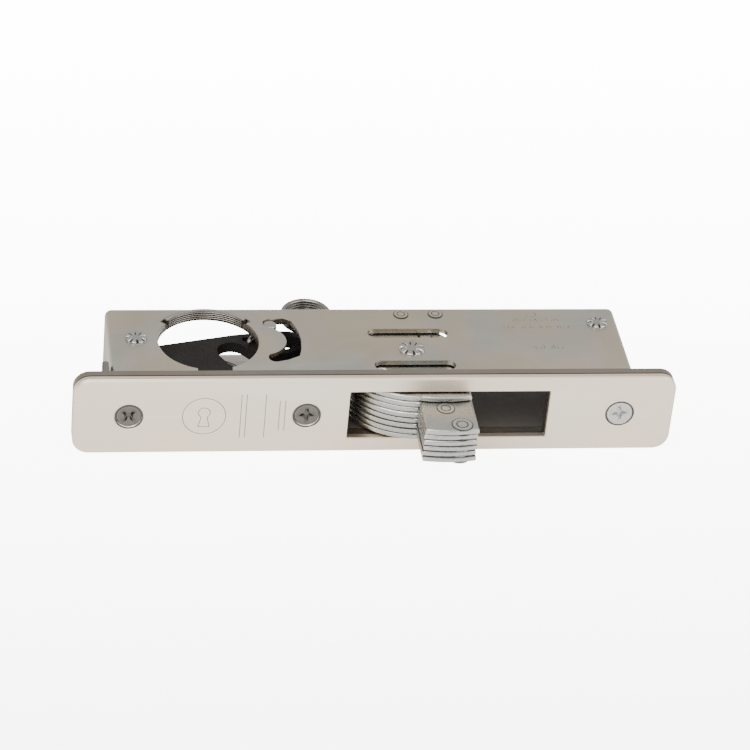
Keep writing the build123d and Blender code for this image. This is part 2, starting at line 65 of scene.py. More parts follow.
bl_info = {
    "name": "Mortise lock",
    "version": (1, 0, 0),
    "blender": (4, 5, 0),
    "location": "View3D > Sidebar > Lock",
    "description": "Builds the finishes and fine pieces of a mortise lock",
    "category": "Object",
}

MM = 0.001
WALL = 1.5 * MM
MARK_LIFT = 0.004 * MM
FLOOR_GAP = 0.4 * MM
STOP_R = 2.0 * MM
POST_SHANK_R = 3.2 * MM
SCREW_SHANK_R = 2.08 * MM
WIRE_R = 0.775 * MM
COIL_R = 7.5 * MM
NODES = frame["nodes"]
MOUNTS = {mount["name"]: mount for mount in frame["record"]["mounts"]}
BODY_OF = {
    node: body
    for body, members in frame["record"]["behaviour"]["bodies"].items()
    for node in members
}
PLIES = sorted(name for name in NODES if name.startswith("bolt_ply_"))


# --- what a user would change --------------------------------------------------------------


def colour(name, description, default):
    """A colour property with a default in linear light."""
    return FloatVectorProperty(
        name=name, description=description, subtype="COLOR", size=3, min=0, max=1, default=default
    )


def length(name, description, default):
    """A length property, kept in metres."""
    return FloatProperty(name=name, description=description, unit="LENGTH", default=default)


class LockFinishes(bpy.types.PropertyGroup):
    """Colours of the lock's metals."""

    satin: colour("Satin plate", "Anodised trim plate", (0.87, 0.75, 0.615))
    plating: colour("Case plating", "Zinc plating on the folded case", (0.56, 0.515, 0.44))
    under_plate: colour("Mounting plate", "Steel plate behind the trim", (0.285, 0.25, 0.215))
    bolt: colour("Bolt", "Bright zinc on the laminations", (0.47, 0.47, 0.445))
    rivet: colour("Rivets", "Staked posts and rivets", (0.46, 0.44, 0.415))
    black: colour("Black arm", "Black oxide on the drive arm", (0.011, 0.0085, 0.007))
    # inside is painted shade: the colour that darkens the case's inner faces and the mounting
    # plate's edges behind the trim.
    inside: colour("Case inside", "Dull oiled metal inside the case", (0.10, 0.085, 0.072))
    strap: colour("Clamp strap", "Plated strap behind the cylinder", (0.40, 0.37, 0.33))
    dark_screw: colour("Dark screws", "Oxide on the two dark screws", (0.15, 0.138, 0.125))
    bright_screw: colour("Bright screw", "Zinc on the bright screw", (0.55, 0.54, 0.53))
    spring: colour("Spring", "Drawn spring wire", (0.30, 0.28, 0.25))


class LockSizes(bpy.types.PropertyGroup):
    """Sizes of the fine pieces."""

    plate_edge: length("Plate edge", "Width of the rounding on the plates' edges", 0.18 * MM)
    ply_edge: length("Ply edge", "Width of the rounding on each lamination", 0.62 * MM)
    ply_shift: length("Ply shift", "How far a lamination strays from the stack", 0.14 * MM)
    stake_height: length("Stake height", "How far a star-staked head stands up", 0.95 * MM)
    petals: IntProperty(name="Petals", description="Lobes on a staked head", default=8, min=4)
    spring_turns: IntProperty(name="Turns", description="Full turns in the coil", default=3)
    mark_width: length("Mark width", "Width of an engraved line", 0.3 * MM)


class LockStage(bpy.types.PropertyGroup):
    """Camera, floor and light."""

    camera_at: FloatVectorProperty(
        name="Camera", description="Where the camera stands", subtype="TRANSLATION",
        default=(-0.1435, -0.7608, 0.5371),
    )
    turn: FloatProperty(
        name="Turn", description="Camera's turn to the right of +Y", subtype="ANGLE",
        default=math.radians(10.62),
    )
    tilt: FloatProperty(
        name="Tilt", description="Camera's tilt below level", subtype="ANGLE",
        default=math.radians(34.22),
    )
    roll: FloatProperty(
        name="Roll", description="Camera's roll", subtype="ANGLE", default=math.radians(5.72)
    )
    lens: FloatProperty(name="Lens", description="Focal length, mm", default=156.6)
    sky: FloatProperty(name="Sky", description="Strength of the white surround", default=0.95)
    key: FloatProperty(name="Key", description="Power of the soft key light, W", default=7.0)
    glow: FloatProperty(name="Glow", description="How much the floor glows to the eye", default=5.5)
    far_glow: FloatProperty(name="Far glow", description="The same behind the lock", default=14.0)
    bounce: FloatProperty(name="Bounce", description="How much it glows to the lock", default=0.75)


# --- shared effects -------------------------------------------------------------------------


def new_group(name, inputs, outputs):
    """An empty shader node group with these sockets, and its two end nodes."""
    group = bpy.data.node_groups.new(name, "ShaderNodeTree")
    for label, kind, default in inputs:
        socket = group.interface.new_socket(label, in_out="INPUT", socket_type=kind)
        socket.default_value = default
    for label, kind in outputs:
        group.interface.new_socket(label, in_out="OUTPUT", socket_type=kind)
    entry = group.nodes.new("NodeGroupInput")
    leave = group.nodes.new("NodeGroupOutput")
    return group, entry, leave


def node(tree, kind, values=(), **settings):
    """A node with its settings and the default values of its named inputs."""
    made = tree.nodes.new(kind)
    for key, value in settings.items():
        setattr(made, key, value)
    for key, value in dict(values).items():
        made.inputs[key].default_value = value
    return made


def grain_group():
    """Directional grain: noise stretched along the three axes, with a finer octave."""
    group, entry, leave = new_group(
        "metal_grain",
        [("Stretch", "NodeSocketVector", (1, 1, 1)), ("Scale", "NodeSocketFloat", 900.0)],
        [("Grain", "NodeSocketFloat")],
    )
    place = node(group, "ShaderNodeTexCoord")
    stretch = node(group, "ShaderNodeVectorMath", operation="MULTIPLY")
    noise = node(group, "ShaderNodeTexNoise", {"Detail": 5.0, "Roughness": 0.62})
    link = group.links.new
    link(place.outputs["Object"], stretch.inputs[0])
    link(entry.outputs["Stretch"], stretch.inputs[1])
    link(stretch.outputs[0], noise.inputs["Vector"])
    link(entry.outputs["Scale"], noise.inputs["Scale"])
    link(noise.outputs["Fac"], leave.inputs["Grain"])
    return group


def mottle_group():
    """Slow cloudy change of tone, as in plating and handled metal."""
    group, entry, leave = new_group(
        "plating_mottle",
        [("Scale", "NodeSocketFloat", 60.0), ("Warp", "NodeSocketFloat", 1.2)],
        [("Cloud", "NodeSocketFloat"), ("Tint", "NodeSocketColor")],
    )
    place = node(group, "ShaderNodeTexCoord")
    cloud = node(group, "ShaderNodeTexNoise", {"Detail": 3.0, "Roughness": 0.55})
    hue = node(group, "ShaderNodeTexNoise", {"Scale": 42.0, "Detail": 2.0})
    ramp = node(group, "ShaderNodeValToRGB")
    stops = ramp.color_ramp.elements
    stops[0].position, stops[0].color = 0.40, (0.90, 0.965, 1.0, 1)
    stops[1].position, stops[1].color = 0.60, (1.0, 0.95, 0.86, 1)
    between = stops.new(0.5)
    between.color = (1.0, 0.96, 0.955, 1)
    link = group.links.new
    link(place.outputs["Object"], cloud.inputs["Vector"])
    link(place.outputs["Object"], hue.inputs["Vector"])
    link(entry.outputs["Scale"], cloud.inputs["Scale"])
    link(entry.outputs["Warp"], cloud.inputs["Distortion"])
    link(cloud.outputs["Fac"], leave.inputs["Cloud"])
    link(hue.outputs["Fac"], ramp.inputs["Fac"])
    link(ramp.outputs["Color"], leave.inputs["Tint"])
    return group


def wear_group():
    """A mask of rubbed edges and of fine scratches."""
    group, entry, leave = new_group(
        "edge_wear",
        [("Edge", "NodeSocketFloat", 0.5), ("Scratch Scale", "NodeSocketFloat", 220.0)],
        [("Edges", "NodeSocketFloat"), ("Scratches", "NodeSocketFloat")],
    )
    shape = node(group, "ShaderNodeNewGeometry")
    spread = node(group, "ShaderNodeMapRange", {"From Min": 0.5, "From Max": 0.62})
    strength = node(group, "ShaderNodeMath", operation="MULTIPLY", use_clamp=True)
    place = node(group, "ShaderNodeTexCoord")
    skew = node(group, "ShaderNodeMapping", {"Rotation": (0.0, 0.3, 0.5), "Scale": (0.06, 1, 1)})
    noise = node(group, "ShaderNodeTexNoise", {"Detail": 2.0, "Roughness": 0.5})
    thin = node(group, "ShaderNodeMapRange", {"From Min": 0.66, "From Max": 0.72})
    link = group.links.new
    link(shape.outputs["Pointiness"], spread.inputs["Value"])
    link(spread.outputs["Result"], strength.inputs[0])
    link(entry.outputs["Edge"], strength.inputs[1])
    link(strength.outputs[0], leave.inputs["Edges"])
    link(place.outputs["Object"], skew.inputs["Vector"])
    link(skew.outputs["Vector"], noise.inputs["Vector"])
    link(entry.outputs["Scratch Scale"], noise.inputs["Scale"])
    link(noise.outputs["Fac"], thin.inputs["Value"])
    link(thin.outputs["Result"], leave.inputs["Scratches"])
    return group


def shared(name, make):
    """The named node group, built the first time it is asked for."""
    return bpy.data.node_groups.get(name) or make()


def place_group(tree, name, make, values=()):
    """The shared group as a node in a material, with its own values."""
    return node(tree, "ShaderNodeGroup", values, node_tree=shared(name, make))


def metal(name, base, rough, grain, bump, mottle, edge=0.4, metallic=1.0, tint=0.6):
    """A metal finish: grain in gloss and height, cloudy tone, rubbed edges, fine scratches.

    rough is the (low, high) roughness, grain is (stretch, scale), bump is a depth in metres,
    and mottle is (scale, how much darker the clouds are).
    """
    made = bpy.data.materials.new(name)
    made.use_nodes = True
    tree = made.node_tree
    shader = tree.nodes["Principled BSDF"]
    shader.inputs["Metallic"].default_value = metallic
    grains = place_group(tree, "metal_grain", grain_group, {"Stretch": grain[0], "Scale": grain[1]})
    clouds = place_group(tree, "plating_mottle", mottle_group, {"Scale": mottle[0]})
    wear = place_group(tree, "edge_wear", wear_group, {"Edge": edge})
    darker = tuple(part * (1 - mottle[1]) for part in base)
    lighter = tuple(min(1.0, part * 1.35 + 0.03) for part in base)
    tone = node(tree, "ShaderNodeMix", data_type="RGBA")
    tone.inputs[6].default_value = (*darker, 1)
    tone.inputs[7].default_value = (*base, 1)
    hue = node(tree, "ShaderNodeMix", data_type="RGBA", blend_type="MULTIPLY")
    hue.inputs[0].default_value = tint
    rubbed = node(tree, "ShaderNodeMix", data_type="RGBA")
    rubbed.inputs[7].default_value = (*lighter, 1)
    gloss = node(tree, "ShaderNodeMapRange", {"To Min": rough[0], "To Max": rough[1]})
    gloss.inputs["From Min"].default_value = 0.3
    gloss.inputs["From Max"].default_value = 0.7
    cut = node(tree, "ShaderNodeMath", operation="MULTIPLY_ADD")
    cut.inputs[1].default_value = -0.35
    relief = node(tree, "ShaderNodeBump", {"Strength": 1.0, "Distance": bump})
    link = tree.links.new
    link(clouds.outputs["Cloud"], tone.inputs[0])
    link(tone.outputs[2], hue.inputs[6])
    link(clouds.outputs["Tint"], hue.inputs[7])
    link(hue.outputs[2], rubbed.inputs[6])
    link(wear.outputs["Edges"], rubbed.inputs[0])
    link(rubbed.outputs[2], shader.inputs["Base Color"])
    link(grains.outputs["Grain"], gloss.inputs["Value"])
    link(gloss.outputs["Result"], shader.inputs["Roughness"])
    link(wear.outputs["Scratches"], cut.inputs[0])
    link(grains.outputs["Grain"], cut.inputs[2])
    link(cut.outputs[0], relief.inputs["Height"])
    link(relief.outputs["Normal"], shader.inputs["Normal"])
    return made


# --- finishes --------------------------------------------------------------------------------


def finishes():
    """The scene's own colours for the finishes."""
    return bpy.context.scene.lock_finishes


def kept(name, make):
    """The named material, made the first time it is asked for."""
    return bpy.data.materials.get(name) or make()


def satin_plate():
    """Fine blasted and anodised aluminium."""
    return kept("satin_plate", lambda: metal(
        "satin_plate", finishes().satin, (0.36, 0.46), ((1, 1, 1), 2600.0),
        0.012 * MM, (26.0, 0.035), edge=0.08, tint=0.25,
    ))


def case_plating():
    """Zinc plate on rolled sheet, faintly iridescent."""
    return kept("case_plating", lambda: metal(
        "case_plating", finishes().plating, (0.26, 0.42), ((0.35, 1, 1), 1300.0),
        0.014 * MM, (38.0, 0.30), edge=0.1, tint=1.0,
    ))


def painted_inside_shade():
    """Painted shade on the case's inner faces, as a dull dark metal."""
    return kept("painted_inside_shade", lambda: metal(
        "painted_inside_shade", finishes().inside, (0.42, 0.6), ((0.35, 1, 1), 900.0),
        0.02 * MM, (90.0, 0.3), edge=0.3, metallic=0.3, tint=0.5,
    ))


def plate_steel():
    """Darker plated steel behind the trim."""
    return kept("under_plate_steel", lambda: metal(
        "under_plate_steel", finishes().under_plate, (0.34, 0.5), ((0.2, 1, 1), 1200.0),
        0.012 * MM, (60.0, 0.22), edge=0.05,
    ))


def bolt_zinc():
    """Bright zinc over sheared laminations, with lines along the sheared edges."""
    return kept("bolt_zinc", lambda: metal(
        "bolt_zinc", finishes().bolt, (0.17, 0.36), ((0.6, 0.6, 3.2), 700.0),
        0.05 * MM, (150.0, 0.28), edge=0.55, tint=0.35,
    ))


def rivet_zinc():
    """Struck rivet metal, bright on its high spots."""
    return kept("rivet_zinc", lambda: metal(
        "rivet_zinc", finishes().rivet, (0.16, 0.34), ((1, 1, 1), 1500.0),
        0.03 * MM, (300.0, 0.35), edge=0.7, tint=0.3,
    ))


def black_oxide():
    """Black oxide with a slightly grainy, oily surface."""
    made = bpy.data.materials.get("black_oxide") or metal(
        "black_oxide", finishes().black, (0.42, 0.62), ((1, 1, 1), 1100.0),
        0.05 * MM, (140.0, 0.4), edge=0.2, metallic=0.0, tint=0.5,
    )
    made.node_tree.nodes["Principled BSDF"].inputs["Specular IOR Level"].default_value = 0.22
    return made


def strap_plating():
    """Plated strap, brighter where the thread was cut."""
    return kept("strap_plating", lambda: metal(
        "strap_plating", finishes().strap, (0.2, 0.36), ((1, 1, 1), 1500.0),
        0.02 * MM, (120.0, 0.2), edge=0.8,
    ))


def screw_oxide():
    """Dark screws, rubbed to metal on the rims."""
    return kept("screw_oxide", lambda: metal(
        "screw_oxide", finishes().dark_screw, (0.26, 0.44), ((1, 1, 1), 1500.0),
        0.03 * MM, (420.0, 0.4), edge=1.0, tint=0.4,
    ))


def screw_zinc():
    """The bright zinc screw."""
    return kept("screw_zinc", lambda: metal(
        "screw_zinc", finishes().bright_screw, (0.2, 0.36), ((1, 1, 1), 1500.0),
        0.02 * MM, (320.0, 0.25), edge=0.7, tint=0.3,
    ))


def spring_steel():
    """Drawn wire with lines along its length."""
    return kept("spring_steel", lambda: metal(
        "spring_steel", finishes().spring, (0.2, 0.36), ((1, 1, 4), 900.0),
        0.02 * MM, (200.0, 0.25), edge=0.3, tint=0.5,
    ))


# --- mesh helpers -----------------------------------------------------------------------------


def piece(name, body, material, bm, sharp=32):
    """Turn a bmesh into a finished piece that rides on a body."""
    mesh = bpy.data.meshes.new(name)
    bmesh.ops.recalc_face_normals(bm, faces=bm.faces)
    bm.to_mesh(mesh)
    bm.free()
    carried = mesh.attributes.get("custom_normal")
    if carried:
        mesh.attributes.remove(carried)
    mesh.polygons.foreach_set("use_smooth", [True] * len(mesh.polygons))
    mesh.set_sharp_from_angle(angle=math.radians(sharp))
    mesh.materials.append(material)
    made = bpy.data.objects.new(name, mesh)
    bpy.context.scene.collection.objects.link(made)
    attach(made, body)
    return made


def softened(node_name, material, width, clamp=True):
    """A copy of a CAD piece with rounded edges, which stands for it."""
    bm = bmesh.new()
    bm.from_mesh(NODES[node_name].data)
    bmesh.ops.remove_doubles(bm, verts=bm.verts, dist=1e-6)
    bmesh.ops.dissolve_limit(bm, angle_limit=math.radians(0.6), verts=bm.verts, edges=bm.edges)
    corners = [
        edge for edge in bm.edges
        if len(edge.link_faces) == 2 and edge.calc_face_angle(0) > math.radians(38)
    ]
    bmesh.ops.bevel(
        bm, geom=corners, offset=width, segments=2, affect="EDGES", clamp_overlap=clamp
    )
    made = piece(f"{node_name}_finished", BODY_OF[node_name], material, bm)
    for face in made.data.polygons:
        face.use_smooth = max(abs(part) for part in face.normal) < 0.99999
    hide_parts(node_name)
    return made


def darken_inside(made):
    """Give the faces that look into the case painted shade, in the dull dark inside metal."""
    made.data.materials.append(painted_inside_shade())
    low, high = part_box("case_shell")
    shrink = 0.8 * WALL
    for face in made.data.polygons:
        spot = face.center
        if low.x + shrink < spot.x < high.x - shrink and abs(spot.z) < high.z - shrink:
            face.material_index = 1


def lamination(node_name, index, material):
    """A CAD ply with a sheared edge: rounded over, ragged, and with painted shade where it meets
    the next.
    """
    sizes = bpy.context.scene.lock_sizes
    bm = bmesh.new()
    bm.from_mesh(NODES[node_name].data)
    bmesh.ops.remove_doubles(bm, verts=bm.verts, dist=1e-6)
    low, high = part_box(node_name)
    thick = high.z - low.z

    def upright(edge):
        return abs(edge.verts[0].co.z - edge.verts[1].co.z) > thick / 2

    diagonals = [e for e in bm.edges if upright(e) and e.calc_length() > thick * 1.0001]
    bmesh.ops.dissolve_edges(bm, edges=diagonals, use_verts=False)
    for share in (8, 4, 2):
        long = [
            e for e in bm.edges
            if not upright(e) and e.calc_length() > share * MM and e.calc_face_angle(0) > 1
        ]
        bmesh.ops.subdivide_edges(bm, edges=long, cuts=share // 2 + 1)
    sides = [edge for edge in bm.edges if upright(edge)]
    bmesh.ops.subdivide_edges(bm, edges=sides, cuts=7)
    bm.normal_update()
    outward = {}
    for vert in bm.verts:
        total = Vector((0, 0, 0))
        for face in vert.link_faces:
            if abs(face.normal.z) < 0.5:
                total += face.normal
        if total.length > 0:
            outward[vert] = total.normalized()
    seed = 3.1 * index
    for vert, way in outward.items():
        rise = (vert.co.z - low.z) / thick
        fall = abs(2 * rise - 1)
        along = (vert.co.x + 0.7 * vert.co.y) / MM
        ragged = 0.5 + 0.25 * math.sin(5.3 * along + seed) + 0.25 * math.sin(11.9 * along - seed)
        tear = 0.35 * max(0.0, 0.45 - rise) * ragged
        vert.co -= way * sizes.ply_edge * (fall ** 5 + tear)
    caps = [face for face in bm.faces if len(face.verts) > 4]
    bmesh.ops.triangulate(bm, faces=caps)
    made = piece(f"{node_name}_finished", BODY_OF[node_name], material, bm, sharp=50)
    for face in made.data.polygons:
        face.use_smooth = abs(face.normal.z) < 0.97
    made.data.materials.append(painted_groove_shade())
    # Faces along the edge that meets the next ply get painted shade, for the groove between plies.
    meets_below = (low.z + high.z) / 2 > 0
    for face in made.data.polygons:
        rise = (face.center.z - low.z) / thick
        seam = rise < 0.14 if meets_below else rise > 0.86
        if seam and abs(face.normal.z) < 0.93:
            face.material_index = 1
    sway = sizes.ply_shift
    shift = Vector((sway * math.sin(2.4 * index), sway * math.cos(3.7 * index), 0))
    made.data.transform(Matrix.Translation(shift))
    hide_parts(node_name)
    return made


def painted_groove_shade():
    """Painted shade for the grooves between the laminations, the joints about flush heads and
    screws, and the cuts of staked heads.
    """
    return kept("painted_groove_shade", lambda: metal(
        "painted_groove_shade", tuple(part * 0.16 for part in finishes().bolt), (0.5, 0.7),
        ((1, 1, 1), 1500.0), 0.03 * MM, (300.0, 0.4), edge=0.0, metallic=0.4,
    ))


def finish_cad(names, material):
    """Give CAD nodes that keep their own shape a finish."""
    for name in names:
        NODES[name].data.materials[0] = material


def middle(node_name):
    """A node's middle, from its box."""
    low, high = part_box(node_name)
    return (low + high) / 2


def lathe(bm, profile, centre, steps=64, up=1):
    """Turn a closed or open profile of (radius, height) points about a vertical axis."""
    rings = []
    for radius, height in profile:
        ring = []
        for step in range(steps):
            angle = 2 * math.pi * step / steps
            ring.append(bm.verts.new((
                centre.x + radius * math.cos(angle),
                centre.y + radius * math.sin(angle),
                centre.z + up * height,
            )))
        rings.append(ring)
    for lower, upper in zip(rings, rings[1:]):
        for step in range(steps):
            after = (step + 1) % steps
            bm.faces.new((lower[step], lower[after], upper[after], upper[step]))
    return rings


def tube(bm, path, radius, sides=14):
    """A round wire that follows the path's points, closed at both ends."""
    rings = []
    side = Vector((0, 0, 1))
    for index, point in enumerate(path):
        before = path[max(index - 1, 0)]
        after = path[min(index + 1, len(path) - 1)]
        along = (after - before).normalized()
        if abs(along.dot(side)) > 0.97:
            side = Vector((0, 1, 0))
        across = along.cross(side).normalized()
        side = across.cross(along).normalized()
        ring = []
        for step in range(sides):
            angle = 2 * math.pi * step / sides
            offset = across * math.cos(angle) + side * math.sin(angle)
            ring.append(bm.verts.new(point + offset * radius))
        rings.append(ring)
    for lower, upper in zip(rings, rings[1:]):
        for step in range(sides):
            after = (step + 1) % sides
            bm.faces.new((lower[step], lower[after], upper[after], upper[step]))
    bm.faces.new(rings[0][::-1])
    bm.faces.new(rings[-1])


# --- pieces ------------------------------------------------------------------------------------


def engraved_mark():
    """A plain keyhole in a ring with two rules, drawn as fine lines of painted shadow and painted
    highlight on the trim plate.
    """
    width = bpy.context.scene.lock_sizes.mark_width
    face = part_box("trim_faceplate")[0].y - MARK_LIFT
    left = middle("trim_screw_left").x
    right = middle("clamp_screw").x
    centre = Vector(((left + right) / 2 - 4 * MM, face, 0))
    bm = bmesh.new()

    def line(points, closed=False):
        """A flat ribbon of painted shadow along the points, in the plate's face, with a ribbon of
        painted highlight below it.
        """
        count = len(points)
        for index in range(count if closed else count - 1):
            a, b = points[index], points[(index + 1) % count]
            side = (b - a).cross(Vector((0, 1, 0))).normalized() * width / 2
            # The second ribbon, offset down and along, is a painted highlight in a bright colour.
            highlight_step = Vector((0.35 * width, 0.002 * MM, -0.6 * width))
            for index_shift, material_index in ((Vector((0, 0, 0)), 0), (highlight_step, 1)):
                corners = (a - side, b - side, b + side, a + side)
                ribbon = bm.faces.new([bm.verts.new(p + index_shift) for p in corners])
                ribbon.material_index = material_index

    def arc(radius, start, end, shift=(0, 0), steps=40):
        """Points of an arc about the mark's centre."""
        points = []
        for step in range(steps + 1):
            angle = math.radians(start + (end - start) * step / steps)
            x = centre.x + shift[0] + radius * math.cos(angle)
            z = centre.z + shift[1] + radius * math.sin(angle)
            points.append(Vector((x, face, z)))
        return points

    line(arc(6.2 * MM, 0, 360))
    head = arc(1.7 * MM, -60, 240, (0, 1.2 * MM))
    foot = [
        Vector((centre.x - 1.6 * MM, face, centre.z - 3.6 * MM)),
        Vector((centre.x + 1.6 * MM, face, centre.z - 3.6 * MM)),
    ]
    line(head + foot, closed=True)
    for offset in (10.5, 12.0, 17.5):
        x = centre.x + offset * MM
        line([Vector((x, face, -7.5 * MM)), Vector((x, face, 7.5 * MM))])
    for shelf in (0, 1):
        x = centre.x + (21.6 + 1.6 * shelf) * MM
        line([Vector((x, face, -5.2 * MM)), Vector((x, face, 5.2 * MM))])
    mark = piece("engraved_mark", "lock_body", mark_shadow(), bm)
    mark.data.materials.append(mark_painted_highlight())
    return mark


def mark_painted_highlight():
    """The painted highlight along the lower edge of an engraved line."""
    return kept("mark_painted_highlight", lambda: metal(
        "mark_painted_highlight", (1.0, 0.94, 0.86), (0.3, 0.4), ((1, 1, 1), 2600.0), 0.01 * MM,
        (200.0, 0.05), edge=0.0, tint=0.1,
    ))


def mark_shadow():
    """The engraved lines' darker floor."""
    return kept("mark_shadow", lambda: metal(
        "mark_shadow", tuple(part * 0.42 for part in finishes().satin), (0.45, 0.6),
        ((1, 1, 1), 2600.0), 0.01 * MM, (200.0, 0.1), edge=0.0, tint=0.2,
    ))


def star_post(node_name, radius):
    """A post whose two ends are staked into stars of struck petals; stands for its CAD node."""
    sizes = bpy.context.scene.lock_sizes
    walls = (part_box("case_cover")[0].z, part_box("case_shell")[1].z)
    place = middle(node_name)
    bm = bmesh.new()
    inside = walls[1] - WALL
    shank = [(POST_SHANK_R, -inside), (POST_SHANK_R, inside)]
    rings = lathe(bm, shank, Vector((place.x, place.y, 0)), 48)
    bm.faces.new(rings[0][::-1])
    bm.faces.new(rings[-1])
    dark = set()
    steps = sizes.petals * 16
    profile = [(1.0, -0.06), (1.0, 0.3), (0.97, 0.55), (0.9, 0.78), (0.8, 0.93), (0.68, 1.0),
               (0.56, 0.97), (0.46, 0.86), (0.36, 0.7), (0.24, 0.6), (0.12, 0.58), (0.02, 0.58)]
    for wall, up in ((walls[0], -1), (walls[1], 1)):
        centre = Vector((place.x, place.y, wall))
        rings = lathe(bm, [(radius * r, sizes.stake_height * h) for r, h in profile],
                      centre, steps, up)
        for (share, height), ring in zip(profile[1:], rings[1:]):
            for step, vert in enumerate(ring):
                turn = 2 * math.pi * step / steps + 0.3
                lobe = 0.5 + 0.5 * math.cos(sizes.petals * turn)
                wide = 1 + 0.35 * math.sin(2.7 * turn + 9 * place.x / MM)
                cut = (1 - lobe) ** (5 * wide) * min(1.0, max(0.0, (share - 0.3) * 4))
                vert.co.z -= up * sizes.stake_height * height * 0.82 * cut
                inward = 1 - 0.16 * cut * share
                vert.co.x = centre.x + (vert.co.x - centre.x) * inward
                vert.co.y = centre.y + (vert.co.y - centre.y) * inward
                if cut > 0.3:
                    dark.add(vert)
        bm.faces.new(rings[-1])
        bm.faces.new(rings[0][::-1])
    # Faces deep in the cuts between the petals get painted shade.
    for face in bm.faces:
        if sum(vert in dark for vert in face.verts) >= 3:
            face.material_index = 1
    made = piece(f"{node_name}_finished", "lock_body", rivet_zinc(), bm, sharp=50)
    made.data.materials.append(painted_groove_shade())
    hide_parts(node_name)
    return made


def joint_rings(name, body, places, levels):
    """A ring of painted shade in the joint about each flush head, and the ring its tool left in the
    same dark colour, on both sides.

    places are (x, y, radius) and levels the heights of the lower and upper face.
    """
    bm = bmesh.new()
    for x, y, radius in places:
        for level, up in ((levels[1], 1), (levels[0], -1)):
            at = Vector((x, y, level))
            for inner, outer, rise in ((0.97, 1.13, -0.12), (0.5, 0.64, 0.012)):
                lathe(bm, [(radius * inner, rise * MM), (radius * outer, rise * MM)], at, 48, up)
    return piece(name, body, painted_groove_shade(), bm)


def rivet_rings(node_name):
    """Rings about one of the bolt's flush rivets."""
    low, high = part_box(node_name)
    place = ((low.x + high.x) / 2, (low.y + high.y) / 2, (high.x - low.x) / 2)
    return joint_rings(f"{node_name}_rings", "bolt", [place], (low.z, high.z))


def stop_rings():
    """Rings about the two small stop posts."""
    low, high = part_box("stop_posts")
    places = [(low.x + STOP_R, low.y + STOP_R, STOP_R), (high.x - STOP_R, high.y - STOP_R, STOP_R)]
    return joint_rings("stop_post_rings", "lock_body", places, (low.z, high.z))


def thread_ridges(name, up):
    """Thread crests on the inside of the strap's arc, and its bright rolled rim."""
    mount = MOUNTS["cylinder_upper"]
    radius = mount["dims"]["r_mm"] * MM + 0.03 * MM
    low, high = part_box("clamp_yoke")
    edge = high.z if up > 0 else low.z
    centre_x, centre_y = mount["pos_m"][:2]
    start = math.radians(43.5)
    end = math.radians(136.5)
    steps = 56
    bm = bmesh.new()
    for depth, thick in ((0.42, 0.13), (1.07, 0.16), (1.72, 0.16), (2.37, 0.16)):
        path = []
        for step in range(steps + 1):
            angle = start + (end - start) * step / steps
            x = centre_x + radius * math.cos(angle)
            y = centre_y + radius * math.sin(angle)
            path.append(Vector((x, y, edge - up * depth * MM)))
        tube(bm, path, thick * MM, sides=8)
    return piece(name, "clamp", strap_plating(), bm, sharp=60)


def cross_screw(node_name, material):
    """A countersunk screw with a tapered cross recess, which stands for its CAD node."""
    low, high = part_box(node_name)
    centre = (low + high) / 2
    head = (high.x - low.x) / 2
    front = low.y
    bm = bmesh.new()
    depth = high.y - low.y
    profile = [
        (head - 1.3 * MM, 0.12 * MM), (head - 0.75 * MM, 0.0), (head - 0.45 * MM, 0.08 * MM),
        (head - 0.3 * MM, 0.4 * MM),
        (SCREW_SHANK_R, head - SCREW_SHANK_R + 0.3 * MM), (SCREW_SHANK_R, depth - 0.3 * MM),
        (SCREW_SHANK_R - 0.4 * MM, depth),
    ]
    rings = lathe(bm, profile, Vector((0, 0, 0)), 72)
    bm.faces.new(rings[-1])
    recess = cross_outline(2.3 * MM, 0.52 * MM)
    rim = [bm.verts.new((x, y, 0.16 * MM)) for x, y in recess]
    floor = [bm.verts.new((x * 0.5, y * 0.5, 1.0 * MM)) for x, y in recess]
    count = len(rim)
    for index in range(count):
        after = (index + 1) % count
        bm.faces.new((rim[index], rim[after], floor[after], floor[index]))
    bm.faces.new(floor)
    open_edges = [edge for edge in rings[0][0].link_edges if edge.is_boundary]
    boundary = {edge for vert in rings[0] for edge in vert.link_edges if edge.is_boundary}
    boundary |= {edge for vert in rim for edge in vert.link_edges if edge.is_boundary}
    if len(open_edges) != 2:
        raise RuntimeError(f"the head of {node_name} isn't open at its rim")
    bmesh.ops.bridge_loops(bm, edges=list(boundary))
    turn = Matrix.Rotation(math.radians(-90), 4, "X")
    spin = Matrix.Rotation(math.radians(18 + 900 * centre.x), 4, "Y")
    bmesh.ops.transform(bm, verts=bm.verts, matrix=spin @ turn)
    bmesh.ops.translate(bm, verts=bm.verts, vec=(centre.x, front, centre.z))
    made = piece(f"{node_name}_finished", BODY_OF[node_name], material, bm, sharp=28)
    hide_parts(node_name)
    # A ring of painted shade in the joint about the head, where the countersink's gap lies in
    # shadow.
    joint = bmesh.new()
    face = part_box("trim_faceplate")[0].y
    for step in range(72):
        corners = []
        for share, turn_by in ((0.93, 0), (1.06, 0), (1.06, 1), (0.93, 1)):
            angle = math.radians(5 * (step + turn_by))
            x = centre.x + head * share * math.cos(angle)
            z = centre.z + head * share * math.sin(angle)
            corners.append(joint.verts.new((x, face + 0.1 * MM * (1.03 - share), z)))
        joint.faces.new(corners)
    piece(f"{node_name}_joint", "lock_body", painted_groove_shade(), joint)
    return made


def cross_outline(reach, half):
    """A cross with rounded inner corners, as (x, y) points anticlockwise."""
    points = []
    for quarter in range(4):
        turn = math.radians(90 * quarter)
        corner = (half * 1.7, half * 1.7)
        for x, y in ((reach, -half * 0.8), (reach, half * 0.8), (half * 2.4, half), corner,
                     (half, half * 2.4)):
            points.append((
                x * math.cos(turn) - y * math.sin(turn), x * math.sin(turn) + y * math.cos(turn)
            ))
    return points


